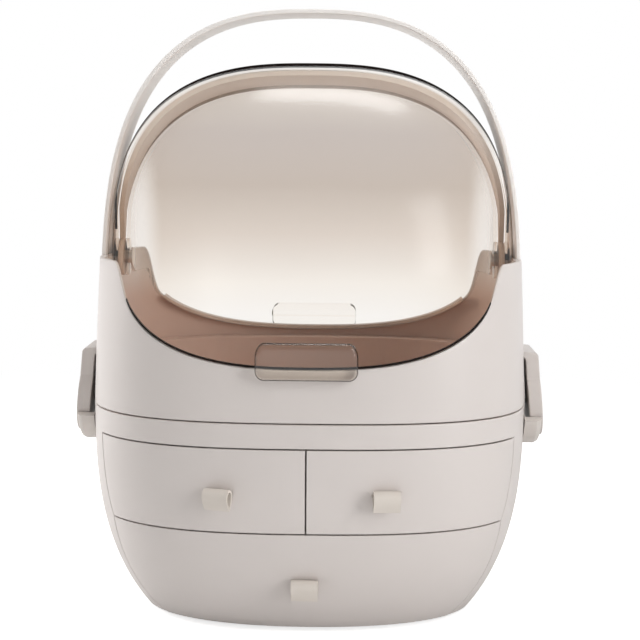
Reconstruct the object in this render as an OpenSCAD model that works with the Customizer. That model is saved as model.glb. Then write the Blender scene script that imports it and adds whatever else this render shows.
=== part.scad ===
// Dustproof makeup organizer: a soft egg-shaped case with three drawers,
// two clear lids that swing about one side-to-side axis, and a carrying handle.
// Millimetres. X to the right, Y to the back, Z up; the origin is on the table,
// under the middle of the case.

/* [Case] */
// Widest width of the case, at the seam between its two shells
body_w = 276; // [264:2:300]
// Depth of the case at the same seam
body_d = 220; // [210:2:236]
// Width of the case where it meets its base
base_w = 207; // [198:1:216]
// Depth of the case where it meets its base
base_d = 126; // [120:1:132]
// Height of the seam between the lower housing and the upper shell
seam_z = 138.7; // [136:0.5:142]
// Height of the shoulders beside the lids
shoulder_z = 231; // [229:0.5:233]
// How far the upper shell draws in at its shoulders, each side
shoulder_inset = 3.6; // [2.5:0.1:4.2]
// Squareness of the plan at the seam (2 is an ellipse)
plan_power = 2.73; // [2.6:0.01:2.85]
// Squareness of the plan at the base
base_power = 2.1; // [2:0.05:2.3]
// Thickness of the moulded case walls
shell_wall = 3; // [2.4:0.1:3.4]
// Height of the rubber feet
foot_h = 3; // [2:0.25:4]

/* [Lids] */
// Height of the axis that both lids turn about
pivot_z = 228.7; // [228:0.1:229.4]
// Radius of the outer lid about that axis, at mid width
lid_r = 123.9; // [122:0.1:124.5]
// How far the lid's rounded form would run on past its flat cheek
lid_crown = 1.3; // [0.8:0.1:1.6]
// Squareness of the lid's rounded form (2 is an ellipse)
lid_power = 2.7; // [2.6:0.01:2.8]
// Clearance between the outer lid's flat cheek and the wall beside it
cheek_gap = 0.9; // [0.8:0.1:1.5]
// Wall of the clear lids
lid_wall = 2.4; // [2:0.1:2.5]
// Thickness of the fixed arch between the lids
arch_wall = 3.2; // [2.8:0.1:3.4]
// Free space between the nested lids and the arch
nest_gap = 0.6; // [0.5:0.05:0.7]
// Angle of the front lid's upper edge, from the front over the top
front_lid_top = 84; // [82:0.5:85]
// Angle of the back edge of the fixed arch
arch_back = 110; // [106:0.5:114]
// Radius of the lids' pivot pins
pin_r = 4; // [3.5:0.1:4.5]
// Width of the clear finger tab on each lid
tab_w = 60.4; // [50:0.5:70]
// Thickness of the dark sealing strips
seal_t = 1.2; // [1:0.1:1.6]
// How much further out the rim is cut at the back, beside the shoulders
rear_widen = 4; // [0:0.5:5]

/* [Drawers] */
// Height of the joint above the upper drawers
drawer_top_z = 123.5; // [122:0.25:125]
// Height of the joint between the upper drawers and the bottom drawer
drawer_mid_z = 71; // [69:0.25:73]
// How far the upper drawer fronts wrap round the sides, from the front of the case
front_wrap = 50; // [48:0.5:52]
// The same for the foot of the bottom drawer front, from the front of the base
foot_wrap = 26; // [25:0.5:28]
// Thickness of the drawer fronts
front_wall = 3.5; // [3:0.1:4]
// Wall of the drawer boxes
box_wall = 1.8; // [1.4:0.1:2.2]
// Room beside the upper bays, from the side of the case
upper_side = 28; // [27:0.5:32]
// Room behind the upper bays, from the back of the case
upper_back = 50; // [49:0.5:54]
// Room beside the bottom bay, from the side of the base
lower_side = 16.5; // [15.5:0.5:21.5]
// Room behind the bottom bay, from the back of the base
lower_back = 29; // [28:0.5:33]
// Wall of the drawer frame
frame_wall = 2; // [1.6:0.1:2.2]
// Visible gap around the drawer fronts, each side of a joint
joint_gap = 0.5; // [0.4:0.05:0.6]
// Clearance of the drawers in their bays
slide_gap = 0.4; // [0.3:0.05:0.6]
// Width of a strap pull
pull_w = 16; // [12:0.5:20]
// Height of a strap pull's loop
pull_h = 13; // [11:0.5:15]
// Depth of a strap pull's loop
pull_d = 9; // [8:0.25:10]
// Thickness of the strap that the pulls are folded from
pull_t = 1.4; // [1:0.1:1.6]

/* [Handle] */
// Height of the axis that the handle turns about
hub_z = 140; // [139:0.25:141]
// Top of the handle
handle_top_z = 386.5; // [382:0.5:395]
// Clearance between the handle's arms and the floor of the side recess
arm_gap = 1.7; // [1.5:0.1:1.9]
// Width of the handle strap, front to back
strap_w = 42; // [38:0.5:44]
// Thickness of the handle strap
strap_t = 2.8; // [2.5:0.1:2.9]
// Radius of the hub's visible lower lip
hub_r = 30.5; // [29.5:0.1:31]
// Radius of the handle's round paddles
paddle_r = 25; // [24:0.1:25.2]
// Depth of the side recess for the handle's arms
recess_depth = 8.3; // [7.8:0.1:8.8]
// How far the handle's paddles stand out past its arms
paddle_step = 14.8; // [14:0.1:15.5]
// Thickness of the paddles
paddle_t = 8.6; // [8.2:0.1:8.9]
// Radius of the handle's pivot screws
screw_r = 5; // [4.5:0.1:5.5]
// Radial running clearance of every pivot
run_fit = 0.06; // [0.04:0.01:0.08]

/* [Hidden] */

ivory = [0.89, 0.87, 0.84];
ivory_dark = [0.80, 0.77, 0.74];
clear_tint = [0.72, 0.62, 0.54, 0.45];
seal_black = [0.06, 0.05, 0.05];
steel = [0.7, 0.7, 0.72];
rubber_grey = [0.3, 0.3, 0.3];

sides = 80;                      // sections around the case
shell_rows = 9;                  // sections up each shell
row_power = 1.25;                // sections lie closer together near the base
front_cols = 22;                 // sections across a drawer front
lid_steps = 20;                  // sections across half a lid
far = 1000;                      // larger than the whole part
round_fn = 64;

taper_w = 1 - pow(base_w / body_w, 2);
taper_d = 1 - pow(base_d / body_d, 2);
recess_x = body_w / 2 - recess_depth;
recess_floor = 1.4;              // wall behind the side recess
wall_cap = recess_x - recess_floor;
lid_cheek_x = wall_cap - cheek_gap;
lid_x = lid_cheek_x + lid_crown;
handle_x = recess_x + arm_gap + strap_t;
paddle_out = handle_x + paddle_step;
paddle_in = paddle_out - paddle_t;
front_end_y = body_d / 2 - front_wrap;
front_foot_y = base_d / 2 - foot_wrap;
upper_bay_x = body_w / 2 - upper_side;
upper_bay_y = body_d / 2 - upper_back;
lower_bay_x = base_w / 2 - lower_side;
lower_bay_y = base_d / 2 - lower_back;
shoulder_w = 28;                 // from the side of the case to where the rim turns up
shoulder_x = body_w / 2 - shoulder_w;
shoulder_slope = 3.4;            // and how steeply
edge_gap = 0.3;                  // between a closed lid's lower edge and the rim
deck_t = 2.2;                    // top deck, shelf and floor of the frame
deck_drop = 0.3;                 // from the fronts' upper joint down to the deck
deck_z = drawer_top_z - deck_drop - deck_t;
shelf_z = drawer_mid_z - deck_t / 2;
base_z = foot_h;                 // underside of the case
plate_t = 2.4;
floor_z = base_z + plate_t + slide_gap;
divider = 2.4;
recess_back = upper_bay_y;
recess_low = hub_z - strap_w / 2 - 1.5;
disc_r = paddle_r - 1;
pocket_gap = 0.5;
screw_head_r = 8;

// ---- form of the case ----
low_power_w = 2.65;              // how late the case narrows towards its base
low_power_d = 2.47;
high_power = 1.3;
high_share_d = 0.006;            // share of the depth lost up to the shoulders
plan_fade = 3;                   // how late the plan loses its corners towards the base
function low(z) = max(0, (seam_z - z) / seam_z);
function high(z) = max(0, (z - seam_z) / (shoulder_z - seam_z));
function half_w(z) = z < seam_z
    ? body_w / 2 * sqrt(1 - taper_w * pow(low(z), low_power_w))
    : body_w / 2 - shoulder_inset * pow(high(z), high_power);
function half_d(z) = body_d / 2
    * (z < seam_z ? sqrt(1 - taper_d * pow(low(z), low_power_d)) : 1 - high_share_d * high(z));
function power(z) = plan_power - (plan_power - base_power) * pow(low(z), plan_fade);
function signed_pow(v, p) = sign(v) * pow(abs(v), p);
function clamp(v, cap) = max(-cap, min(cap, v));

// One horizontal outline of the case at height z, moved in by inset.
function outline(z, inset = 0, cap = far) = [for (i = [0 : sides - 1])
    let (t = 360 * i / sides, e = 2 / power(z))
    [clamp((half_w(z) - inset) * signed_pow(cos(t), e), cap), (half_d(z) - inset) * signed_pow(sin(t), e)]];

// ---- form of the lids: a rounded drum about the pivot axis, moved in by inset ----
function drum_r(x, inset = 0) = (lid_r - inset)
    * pow(max(0, 1 - pow(min(abs(x) / (lid_x - inset), 1), lid_power)), 1 / lid_power);
rim_mid_z = 200;                 // height about which the rim waves
function case_y(x) = let (z = rim_mid_z, n = power(z))
    half_d(z) * pow(max(0, 1 - pow(min(1, abs(x) / half_w(z)), n)), 1 / n);
// Height of the rim at x: where the lid's drum meets the case.
function rim_curve(x) = pivot_z - sqrt(max(0, pow(drum_r(x), 2) - pow(case_y(x), 2)));

// A closed skin through rings of points; the last ring joins the first.
module ring_skin(rings) {
    n = len(rings[0]);
    m = len(rings);
    polyhedron([for (r = rings) each r], [for (j = [0 : m - 1], i = [0 : n - 1])
        let (k = (j + 1) % m, h = (i + 1) % n)
        each [[j * n + i, k * n + h, j * n + h], [j * n + i, k * n + i, k * n + h]]]);
}

// A closed solid through rings of points, with flat ends.
module ring_solid(rings) {
    n = len(rings[0]);
    m = len(rings);
    polyhedron([for (r = rings) each r], concat(
        [[for (i = [0 : n - 1]) i]],
        [[for (i = [n - 1 : -1 : 0]) (m - 1) * n + i]],
        [for (j = [0 : m - 2], i = [0 : n - 1])
            let (h = (i + 1) % n)
            each [[j * n + i, (j + 1) * n + h, j * n + h], [j * n + i, (j + 1) * n + i, (j + 1) * n + h]]]));
}

function at_z(points, z) = [for (p = points) [p[0], p[1], z]];
// The case as one solid between two heights, moved in by inset.
module case_core(z0, z1, inset, cap = far, rows = 8) {
    ring_solid([for (j = [0 : rows]) let (z = z0 + (z1 - z0) * pow(j / rows, row_power))
        at_z(outline(z, inset, cap), z)]);
}

module slab_x(x0, x1, y0, y1, z0, z1) {
    translate([x0, y0, z0]) cube([x1 - x0, y1 - y0, z1 - z0]);
}

// Turns a profile (radius, height) about the lids' axis, from angle a0 to a1;
// the angle is 0 at the front and 90 at the top.
module about_pivot(a0, a1) {
    translate([0, 0, pivot_z]) rotate([90, 0, -90]) rotate([0, 0, a0])
        rotate_extrude(angle = a1 - a0, $fn = round_fn) children();
}

// A cylinder along X, between two distances from the middle, at height z.
module rod_x(x0, x1, r, z) {
    translate([x0, 0, z]) rotate([0, 90, 0]) cylinder(h = x1 - x0, r = r, $fn = round_fn);
}

module both_sides() {
    children();
    mirror([1, 0, 0]) children();
}

// ---- side recess for the handle ----
module recess_outline() {
    polygon([[-strap_w / 2 - pocket_gap * 2, hub_z], [-strap_w / 2 - pocket_gap * 2, far],
        [recess_back, far], [recess_back, recess_low], [0, recess_low], [0, hub_z]]);
    translate([0, hub_z]) polygon([for (i = [0 : 47]) (disc_r + pocket_gap) * [cos(i * 7.5), sin(i * 7.5)]]);
}
module side_recess() {
    both_sides() translate([recess_x, 0, 0]) rotate([90, 0, 90]) linear_extrude(40) recess_outline();
}

// ---- upper shell: from the seam up to the rim and shoulders ----
module upper_shell() color(ivory) {
    levels = [for (j = [0 : shell_rows - 2]) seam_z + (shoulder_z - seam_z) * j / (shell_rows - 2)];
    difference() {
        ring_skin(concat(
            [for (z = levels) at_z(outline(z), z)],
            [for (j = [shell_rows - 2 : -1 : 0]) at_z(outline(levels[j], shell_wall, wall_cap), levels[j])]));
        above_shoulder(0, 0, -far / 2, 0);
        above_shoulder(0, 0, -rim_lap, far / 2, rear_widen);
        side_recess();
    }
}

// ---- compartment floor and its ledge, inside the upper shell ----
tray_gap = 0.3;
ledge_drop = 4.9;                // the ledge lies this far under the lowest part of the rim
ledge_z = rim_curve(0) - ledge_drop;
ledge_w = 13;
tray_t = 2.2;
module tray_band(z, h, outer, inner) {
    translate([0, 0, z]) linear_extrude(h) difference() {
        polygon(outline(z, outer, wall_cap - tray_gap));
        if (inner > 0) polygon(outline(z, inner, wall_cap - tray_gap - (inner - outer)));
    }
}
module inner_tray() color(ivory) {
    edge = shell_wall + tray_gap;
    tray_band(ledge_z - tray_t, tray_t, edge, edge + ledge_w);
    tray_band(seam_z + tray_t / 2, ledge_z - seam_z - tray_t, edge + ledge_w - tray_t, edge + ledge_w);
    tray_band(seam_z, tray_t, edge, 0);
}

// ---- lower housing: the outer shell around the drawers ----
module housing_front_cut() {
    // everything in front of the seam at the sides of the drawer fronts
    rotate([90, 0, 90]) translate([0, 0, -far / 2]) linear_extrude(far) polygon([
        [-far, -1], [-front_foot_y + joint_gap, -1], [-front_foot_y + joint_gap, base_z],
        [-front_end_y + joint_gap, drawer_mid_z], [-front_end_y + joint_gap, drawer_top_z + joint_gap],
        [-far, drawer_top_z + joint_gap]]);
}
module lower_housing() color(ivory) {
    levels = [for (j = [0 : shell_rows]) base_z + (seam_z - base_z) * pow(j / shell_rows, 1.35)];
    difference() {
        ring_skin(concat(
            [for (z = levels) at_z(outline(z), z)],
            [for (j = [shell_rows : -1 : 0]) at_z(outline(levels[j], shell_wall, wall_cap), levels[j])]));
        side_recess();
        housing_front_cut();
    }
}

// ---- drawer frame: deck, shelf, floor, divider and the walls of the bays ----
frame_gap = 0.3;                 // between the frame and the walls around it
frame_inset = shell_wall + frame_gap;
bay_set_back = 1;                // the bays' walls start this far behind the fronts' ends
divider_reach = 1.6;             // and the divider's reach, as a share of the same depth
flange_gap = 0.4;                // behind the ends of the drawer fronts
module deck(z, t, inset) {
    translate([0, 0, z]) linear_extrude(t) polygon(outline(z, inset, wall_cap - frame_gap));
}
module bay_cut() {
    // the three bays, open to the front
    for (side = [-1, 1]) slab_x(side > 0 ? divider / 2 : -upper_bay_x, side > 0 ? upper_bay_x : -divider / 2,
        -far / 4, upper_bay_y, shelf_z + deck_t, deck_z);
    slab_x(-lower_bay_x, lower_bay_x, -far / 4, lower_bay_y, floor_z, shelf_z);
}
module flange_strip() {
    // follows the side ends of the drawer fronts
    t = frame_wall;
    y0 = -front_foot_y + joint_gap + flange_gap;
    y1 = -front_end_y + joint_gap + flange_gap;
    rotate([90, 0, 90]) translate([0, 0, -far / 2]) linear_extrude(far) polygon([
        [y0, floor_z], [y1, drawer_mid_z], [y1, deck_z],
        [y1 + t, deck_z], [y1 + t, drawer_mid_z], [y0 + t, floor_z]]);
}
module drawer_frame() color(ivory_dark) {
    difference() {
        union() {
            deck(deck_z, deck_t, frame_inset + front_wall);
            deck(shelf_z, deck_t, frame_inset + front_wall);
            slab_x(-upper_bay_x - frame_wall, upper_bay_x + frame_wall,
                -front_end_y + bay_set_back, upper_bay_y + frame_wall, shelf_z + deck_t / 2, deck_z + deck_t / 2);
            slab_x(-lower_bay_x - frame_wall, lower_bay_x + frame_wall,
                -front_foot_y + bay_set_back, lower_bay_y + frame_wall, floor_z, shelf_z + deck_t / 2);
            slab_x(-divider / 2, divider / 2, -front_end_y * divider_reach, 0,
                shelf_z + deck_t / 2, deck_z + deck_t / 2);
            intersection() {
                case_core(floor_z, deck_z + deck_t, frame_inset, wall_cap - frame_gap);
                flange_strip();
            }
        }
        bay_cut();
    }
}

// ---- base ----
foot_r = 9;
base_screw_r = 1.6;
base_screw_head_r = 2.88;
base_screw_head_t = 1.2;
plate_lap = 2;                   // the plate reaches this far under the drawer fronts
hole_over = 1;                   // cutters run on past the plate by this much
thread_bite = 0.1;               // the shank starts this far inside its head
foot_places = [for (sx = [-1, 1], sy = [-1, 1]) [sx * base_w * 0.31, sy * base_d * 0.27]];
screw_places = [for (sx = [-1, 1], sy = [-1, 1]) [sx * base_w * 0.2, sy * base_d * 0.3]];
module base_plate() color(ivory_dark) {
    difference() {
        translate([0, 0, base_z]) linear_extrude(plate_t)
            polygon(outline(base_z, shell_wall + front_wall - plate_lap));
        for (p = screw_places) translate([p[0], p[1], base_z - hole_over])
            cylinder(h = plate_t + 2 * hole_over, r = base_screw_r, $fn = 32);
    }
}
module base_feet() color(rubber_grey) {
    for (p = foot_places) translate([p[0], p[1], 0]) cylinder(h = foot_h, r = foot_r, $fn = 48);
}
module base_screws() color(steel) {
    for (p = screw_places) translate([p[0], p[1], base_z]) {
        translate([0, 0, -base_screw_head_t]) cylinder(h = base_screw_head_t, r = base_screw_head_r, $fn = 32);
        translate([0, 0, -thread_bite]) cylinder(h = plate_t, r = base_screw_r, $fn = 32);
    }
}

// ---- lids and the arch between them ----
// Profile of one drum wall as (radius, x): inset d0 outside, d1 inside, with flat
// cheeks, a round bore for the pivot pin at both ends.
function half_steps(cheek) = [for (i = [0 : lid_steps]) cheek * sin(90 * i / lid_steps)];
function drum_edge(inset, cheek) = let (h = half_steps(cheek))
    concat([for (i = [lid_steps : -1 : 1]) [drum_r(h[i], inset), -h[i]]], [for (x = h) [drum_r(x, inset), x]]);
module drum_profile(d0, d1) {
    c0 = lid_cheek_x - d0;
    c1 = lid_cheek_x - d1;
    root = hub_disc_r - 3;
    inner = drum_edge(d1, c1);
    polygon(concat([[root, -c0]], drum_edge(d0, c0), [[root, c0], [root, c1]],
        [for (i = [len(inner) - 1 : -1 : 0]) inner[i]], [[root, -c1]]));
}
hub_disc_r = 12;
disc_step = 0.1;                 // the discs are this much thinner than the cheeks, each side
module pivot_discs(d0, d1) {
    both_sides() difference() {
        rod_x(lid_cheek_x - d1 + disc_step, lid_cheek_x - d0 - disc_step, hub_disc_r, pivot_z);
        rod_x(lid_cheek_x - d1 - 1, lid_cheek_x - d0 + 1, pin_r + run_fit, pivot_z);
    }
}
// The space above the rim, raised by lift, as a bar along Y.
function rim_steps() = [for (i = [-lid_steps : lid_steps]) shoulder_x * sin(90 * i / lid_steps)];
// Points along the rim; widen spreads the curve sideways by that much at the shoulders.
function rim_points(lift, widen) = [for (x = rim_steps()) [x, rim_curve(x * (1 - widen / shoulder_x)) + lift]];
module above_rim(lift, side_z, y0, y1) {
    translate([0, y1, 0]) rotate([90, 0, 0]) linear_extrude(y1 - y0) polygon(concat(
        rim_points(lift, rear_widen),
        [[shoulder_x, side_z], [far / 2, side_z], [far / 2, far / 2],
         [-far / 2, far / 2], [-far / 2, side_z], [-shoulder_x, side_z]]));
}
shoulder_run = (shoulder_z - rim_curve(shoulder_x)) / shoulder_slope;
rim_lap = 0.5;                   // overlap of the front and rear cuts of the rim
module above_shoulder(lift, top_lift, y0, y1, widen = 0) {
    // the same, but following the shoulder's slope up to its top
    top = shoulder_z + top_lift;
    run = shoulder_x + shoulder_run;
    translate([0, y1, 0]) rotate([90, 0, 0]) linear_extrude(y1 - y0) polygon(concat(
        rim_points(lift, widen),
        [[run, top], [far / 2, top], [far / 2, far / 2], [-far / 2, far / 2], [-far / 2, top], [-run, top]]));
}
d_arch = lid_wall + nest_gap;
d_rear = d_arch + arch_wall + nest_gap;
lid_tuck = 6;                    // the drums run on below the rim before they are cut, degrees
low_angle = -acos(min(1, case_y(0) / lid_r)) - lid_tuck;
side_drop = 14;                  // the rear lid's sides end this far below the shoulders

module front_lid() color(clear_tint) {
    lift = edge_gap + seal_t;
    intersection() {
        about_pivot(low_angle, front_lid_top) drum_profile(0, lid_wall);
        above_shoulder(lift, edge_gap, -far / 2, 1);
    }
    pivot_discs(0, lid_wall);
}
module front_lid_rim_seal() color(seal_black) {
    intersection() {
        about_pivot(low_angle, 5) drum_profile(0, lid_wall);
        difference() {
            above_shoulder(edge_gap, edge_gap, -far / 2, 0);
            above_shoulder(edge_gap + seal_t, edge_gap, -far / 2, 0);
            both_sides() slab_x(shoulder_x, far, -far, far, 0, far);
        }
    }
}
module front_lid_top_seal() color(seal_black) {
    // a strip along the upper edge, proud of the lid
    proud = 1.3;
    outer = [for (x = half_steps(lid_cheek_x)) [(lid_r + proud) / lid_r * drum_r(x), x]];
    inner = [for (x = half_steps(lid_cheek_x - 1.5)) [(lid_r - seal_t) / lid_r * drum_r(x, 0) - 0.2, x]];
    low_r = 18;
    both_sides() about_pivot(front_lid_top, front_lid_top + 1.2) intersection() {
        polygon(concat(outer, [for (i = [len(inner) - 1 : -1 : 0]) inner[i]]));
        translate([low_r, 0]) square([far, far]);
    }
}
arch_lead = 0.5;                 // the arch starts this far before the lid's edge, degrees
rear_lap = 4;                    // the rear lid runs on under the arch by this much, degrees
module lid_arch() color(ivory) {
    about_pivot(front_lid_top - arch_lead, arch_back) drum_profile(d_arch, d_arch + arch_wall);
    pivot_discs(d_arch, d_arch + arch_wall);
}
rear_start = arch_back - rear_lap;
rear_side_z = shoulder_z - side_drop;
module rear_lid() color(clear_tint) {
    intersection() {
        about_pivot(rear_start, 180 - low_angle) drum_profile(d_rear, d_rear + lid_wall);
        above_rim(edge_gap, rear_side_z, -far / 4, far / 2);
    }
    pivot_discs(d_rear, d_rear + lid_wall);
}
rear_rim_h = 4;
rear_rim_x = shoulder_x - 6;
module rear_lid_rim() color(seal_black) {
    intersection() {
        about_pivot(arch_back, 180 - low_angle) drum_profile(0, d_rear);
        difference() {
            above_rim(edge_gap, rear_side_z, 0, far / 2);
            above_rim(edge_gap + rear_rim_h, rear_side_z, 0, far / 2);
        }
        slab_x(-rear_rim_x, rear_rim_x, 0, far / 2, 0, far);
    }
}
// Clear finger tab: a rounded block across the rim, shaped to the drum behind it.
front_tab_drop = 5.8;            // the tabs' lower and upper edges, from the rim
rear_tab_drop = 1.1;
tab_rise = 16.5;
front_tab_z = [rim_curve(0) - front_tab_drop, rim_curve(0) + tab_rise];
rear_tab_z = [rim_curve(0) - rear_tab_drop, rim_curve(0) + tab_rise];
tab_proud = 1.5;                 // past the lid behind the tab's upper edge
tab_out = sqrt(pow(lid_r, 2) - pow(pivot_z - front_tab_z[1], 2)) + tab_proud;
tab_clear = 0.7;                 // between the tabs and the case
tab_in = body_d / 2 + tab_clear;
tab_corner = 5.5;
module tab_block(z0, z1, y0, y1) {
    w = tab_w / 2 - tab_corner;
    translate([0, y1, 0]) rotate([90, 0, 0]) linear_extrude(y1 - y0) {
        translate([-w - tab_corner, z0 + tab_corner]) square([2 * (w + tab_corner), z1 - z0 - 2 * tab_corner]);
        translate([-w, z0]) square([2 * w, z1 - z0]);
        for (x = [-w, w], z = [z0 + tab_corner, z1 - tab_corner]) translate([x, z]) circle(tab_corner, $fn = 32);
    }
}
module drum_solid(inset, a0, a1) {
    c = lid_cheek_x - inset;
    about_pivot(a0, a1) polygon(concat([[0, -c]], drum_edge(inset, c), [[0, c]]));
}
module front_lid_tab() color(clear_tint) {
    difference() {
        tab_block(front_tab_z[0], front_tab_z[1], -tab_out, -tab_in);
        drum_solid(0, low_angle, 0);
    }
}
rear_tab_out = lid_r;            // reaches as far back as the front lid does in front
rear_tab_t = tab_out - tab_in;
rear_web_h = 8;
rear_tab_root = 16;              // the web starts this far inside the case's rear face
module rear_lid_tab() color(clear_tint) {
    difference() {
        tab_block(rear_tab_z[0], rear_tab_z[1], body_d / 2 - rear_tab_root, rear_tab_out);
        drum_solid(d_rear, 180, 180 - low_angle);
        // finger room behind the plate, under the web that joins it to the lid
        translate([-far / 2, 0, 0]) cube([far, rear_tab_out - rear_tab_t, rear_tab_z[1] - rear_web_h]);
    }
}
pin_over = 1.4;                  // past the inner lid's wall
pin_head_t = 1;
pin_collar_gap = 0.3;
module lid_pivot_pins() color(steel) {
    inner_end = lid_cheek_x - d_rear - lid_wall - pin_over;
    both_sides() {
        rod_x(inner_end, wall_cap, pin_r, pivot_z);
        rod_x(lid_cheek_x + pin_collar_gap, wall_cap, pin_r * 2, pivot_z);
        rod_x(inner_end - pin_head_t, inner_end, pin_r * 1.5, pivot_z);
    }
}

// ---- handle ----
neck_z = hub_z + paddle_r + 7;   // where the arms run into the paddles
arm_z0 = neck_z - 2;             // where the arms start to bow inward
arm_power = 3.3;
bow_power = 2.57;
arm_join_z = neck_z + 5;
handle_steps = 28;
// Outer edge of the arch from the top to where the arms run straight down.
function bow(i, inset) = let (t = 90 * i / handle_steps, h = handle_top_z - arm_z0)
    [(handle_x - inset) * pow(sin(t), 2 / bow_power), arm_z0 + (h - inset) * pow(cos(t), 2 / arm_power)];
lean = 0.09;                     // the paddles lean outward, downward
module handle_outline() {
    outer = [for (i = [0 : handle_steps]) let (p = bow(i, 0)) if (p[1] > arm_join_z) p];
    inner = [for (i = [handle_steps : -1 : 0]) let (p = bow(i, strap_t)) if (p[1] > arm_join_z) p];
    foot = hub_z - paddle_r - 1;
    half = concat(outer, [
        [handle_x, arm_join_z],
        [handle_x + 3.2, neck_z - 0.4],
        [paddle_out - lean * (neck_z - hub_z) - 2, neck_z - 0.8],
        [paddle_out - lean * (neck_z - hub_z) + 0.2, neck_z - 3],
        [paddle_out - lean * (foot - hub_z), foot],
        [paddle_in - lean * (foot - hub_z), foot],
        [paddle_in - lean * (neck_z - hub_z - 5.5), neck_z - 5.5],
        [handle_x - strap_t, neck_z + 1]], inner);
    polygon(concat(half, [for (i = [len(half) - 2 : -1 : 1]) [-half[i][0], half[i][1]]]));
}
module handle_side() {
    // side view: a strap that ends in a round paddle
    translate([0, hub_z]) polygon([for (i = [0 : 59]) paddle_r * [cos(i * 6), sin(i * 6)]]);
    translate([-strap_w / 2, hub_z]) square([strap_w, handle_top_z]);
}
head_in = paddle_out - 4.5;      // floor of the screw head's seat in the paddle
head_t = 1.7;
cap_t = 1.2;
cap_gap = 0.5;                   // between a screw head and its cap
seat_fit = 0.4;                  // around a screw head
head_gap = 0.3;                  // under a screw head
module handle() color(ivory_dark) {
    difference() {
        intersection() {
            translate([0, strap_w, 0]) rotate([90, 0, 0]) linear_extrude(2 * strap_w) handle_outline();
            rotate([90, 0, 90]) translate([0, 0, -far / 2]) linear_extrude(far) handle_side();
        }
        both_sides() {
            rod_x(recess_x, paddle_out + 5, screw_r + run_fit, hub_z);
            rod_x(head_in, paddle_out + 5, screw_head_r + seat_fit, hub_z);
        }
    }
}
module handle_caps() color(ivory_dark) {
    cap_in = head_in + head_t + cap_gap;
    both_sides() rod_x(cap_in, cap_in + cap_t, screw_head_r + seat_fit - run_fit, hub_z);
}
module handle_screws() color(steel) {
    both_sides() {
        rod_x(hub_bore_x, head_in + head_gap, screw_r, hub_z);
        rod_x(head_in + head_gap, head_in + head_gap + head_t, screw_head_r, hub_z);
    }
}
hub_bore_x = recess_x + 1.5;
face_gap = 0.6;                  // between the hub's face and the paddle
hub_face_x = paddle_in - lean * disc_r - face_gap;
boss_r = screw_r + 3.5;
boss_gap = 0.4;
boss_x = paddle_in - lean * boss_r - boss_gap;
lip_out = paddle_out - 0.4;      // the lip ends just inside the paddle's outer face
lip_floor = body_w / 2 - 0.3;    // and starts at the case's side
lip_gap = 0.6;                   // around the paddle
lip_front = 67;                  // the lip's reach to the front and rear of the bottom, degrees
lip_rear = 23;
module hub_base() color(ivory_dark) {
    difference() {
        union() {
            rod_x(recess_x, hub_face_x, disc_r, hub_z);
            rod_x(hub_face_x - 1, boss_x, boss_r, hub_z);
            // lower lip, open above for the arm to swing to the back
            translate([0, 0, hub_z]) rotate([0, 90, 0]) rotate([0, 0, -lip_front])
                rotate_extrude(angle = lip_front + lip_rear, $fn = round_fn) polygon([
                    [disc_r - 2, hub_face_x - 1], [disc_r, hub_face_x - 1],
                    [disc_r, lip_floor], [hub_r, lip_floor],
                    [hub_r, lip_out - 3], [hub_r - 1.2, lip_out - 0.8], [hub_r - 2.6, lip_out],
                    [paddle_r + lip_gap, lip_out], [paddle_r + lip_gap, lip_floor + 0.9],
                    [disc_r - 2, lip_floor + 0.5]]);
        }
        rod_x(hub_bore_x, lip_out, screw_r + run_fit, hub_z);
    }
}
module hub_base_right() { hub_base(); }
module hub_base_left() { mirror([1, 0, 0]) hub_base(); }

// ---- drawer fronts ----
// Half-way round the front of the case: 0 is the middle, 90 the side.
function turn_at_x(x, a, n) = asin(pow(min(1, abs(x) / a), n / 2));
function turn_at_y(y, b, n) = acos(pow(min(1, y / b), n / 2));
function end_y(z) = z > drawer_mid_z ? front_end_y + joint_gap
    : front_foot_y + joint_gap + (front_end_y - front_foot_y) * (z - base_z) / (drawer_mid_z - base_z);
// One row of a drawer front: side -1 left, 1 right, 0 right across.
function front_row(z, side, inset) =
    let (a = half_w(z) - inset, b = half_d(z) - inset, n = power(z), last = turn_at_y(end_y(z), b, n),
        first = side == 0 ? -last : turn_at_x(joint_gap, a, n))
    [for (j = [0 : front_cols])
        let (k = side < 0 ? front_cols - j : j, t = first + (last - first) * k / front_cols)
        [(side < 0 ? -1 : 1) * a * signed_pow(sin(t), 2 / n), -b * signed_pow(cos(t), 2 / n), z]];
module front_panel(z0, z1, side) {
    rows = 7;
    n = front_cols + 1;
    m = 2 * n;
    levels = [for (i = [0 : rows]) z0 + (z1 - z0) * i / rows];
    rings = [for (z = levels) let (inner = front_row(z, side, front_wall))
        concat(front_row(z, side, 0), [for (j = [front_cols : -1 : 0]) inner[j]])];
    polyhedron([for (r = rings) each r], concat(
        [for (j = [0 : n - 2]) [j, j + 1, m - 2 - j, m - 1 - j]],
        [for (j = [0 : n - 2]) [for (v = [m - 1 - j, m - 2 - j, j + 1, j]) rows * m + v]],
        [for (k = [0 : rows - 1], i = [0 : m - 1])
            let (h = (i + 1) % m)
            each [[k * m + i, (k + 1) * m + h, k * m + h], [k * m + i, (k + 1) * m + i, (k + 1) * m + h]]]));
}

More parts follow.
